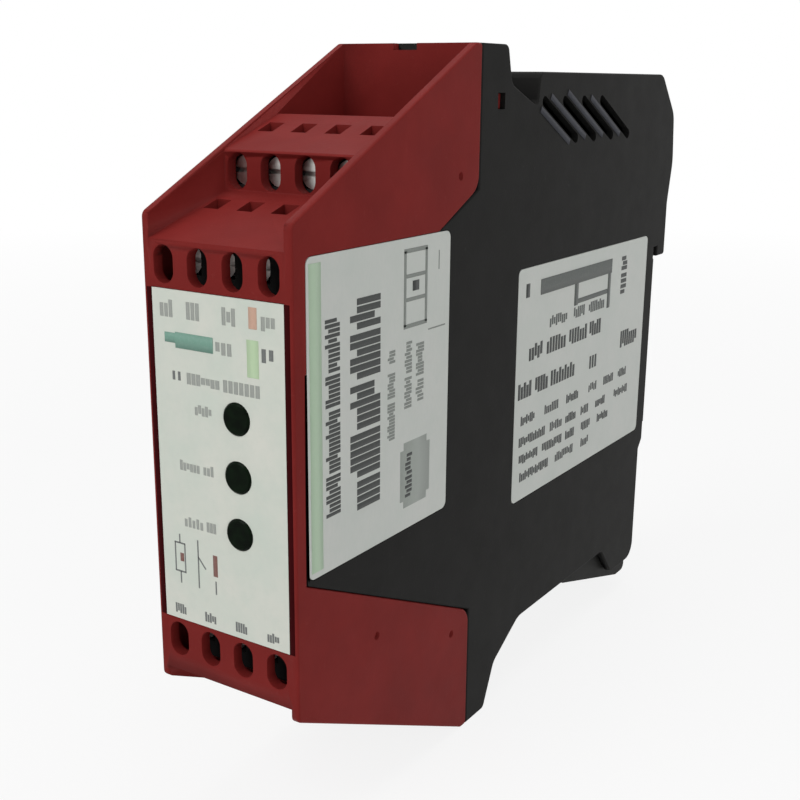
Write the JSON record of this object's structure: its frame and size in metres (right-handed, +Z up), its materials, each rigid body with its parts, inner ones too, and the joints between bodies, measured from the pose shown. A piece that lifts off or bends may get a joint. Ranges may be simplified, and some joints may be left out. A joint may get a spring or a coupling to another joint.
{
  "type": "safety relay",
  "caption": "Slim rail-mounted safety relay: red hood with stepped screw terminals above and below a pale front panel, black vented housing with a sprung rail latch",
  "frame": {"origin": "middle of the rail seat, where the housing's back bears on the mounting rail", "axes": "+X right across the width seen from the front, +Y from the front panel towards the rail, +Z up"},
  "size_m": [0.0226, 0.1142, 0.1],
  "materials": {
    "red_plastic": "satin moulded",
    "black_plastic": "fine matt moulded",
    "latch_plastic": "matt moulded",
    "panel_film": "printed film",
    "label_film": "printed film",
    "indicator_plastic": "clear dark",
    "led_resin": "clear resin",
    "screw_steel": "zinc plated",
    "cage_steel": "zinc plated",
    "block_plastic": "moulded",
    "circuit_board": "solder resist",
    "chip_plastic": "moulded",
    "relay_plastic": "moulded",
    "core_steel": "laminated",
    "coil_tape": "taped",
    "capacitor_sleeve": "sleeved",
    "absorber_resin": "dipped",
    "fuse_plastic": "moulded",
    "spring_steel": "drawn wire"
  },
  "bodies": {
    "case": {"front_hood": "red_plastic", "front_label": "panel_film", "fuse": "fuse_plastic", "latch_spring": "spring_steel", "lower_board_header": "chip_plastic", "lower_channel_chip": "chip_plastic", "lower_front_clamp_cages": "cage_steel", "lower_front_terminal_block": "block_plastic", "lower_front_terminal_screws": "screw_steel", "lower_indicator_led": "led_resin", "lower_indicator_lens": "indicator_plastic", "lower_rear_clamp_cages": "cage_steel", "lower_rear_terminal_block": "block_plastic", "lower_rear_terminal_screws": "screw_steel", "lower_relay": "relay_plastic", "lower_terminal_board": "circuit_board", "main_board": "circuit_board", "middle_indicator_led": "led_resin", "middle_indicator_lens": "indicator_plastic", "output_capacitor": "capacitor_sleeve", "panel_board": "circuit_board", "rating_label": "label_film", "rear_housing": "black_plastic", "side_label": "label_film", "smoothing_capacitor": "capacitor_sleeve", "surge_absorber": "absorber_resin", "transformer_coil": "coil_tape", "transformer_core": "core_steel", "upper_board_header": "chip_plastic", "upper_channel_chip": "chip_plastic", "upper_front_clamp_cages": "cage_steel", "upper_front_terminal_block": "block_plastic", "upper_front_terminal_screws": "screw_steel", "upper_indicator_led": "led_resin", "upper_indicator_lens": "indicator_plastic", "upper_rear_clamp_cages": "cage_steel", "upper_rear_terminal_block": "block_plastic", "upper_rear_terminal_screws": "screw_steel", "upper_relay": "relay_plastic", "upper_terminal_board": "circuit_board"},
    "latch": {"rail_latch": "latch_plastic"}
  },
  "joints": [
    {"name": "latch_slide", "type": "slide", "parent": "case", "child": "latch", "axis": [0, 0, -1], "range_m": [0, 0.003], "stiffness_N_per_m": 400, "springref_m": -0.005, "deforming": ["latch_spring"]}
  ]
}
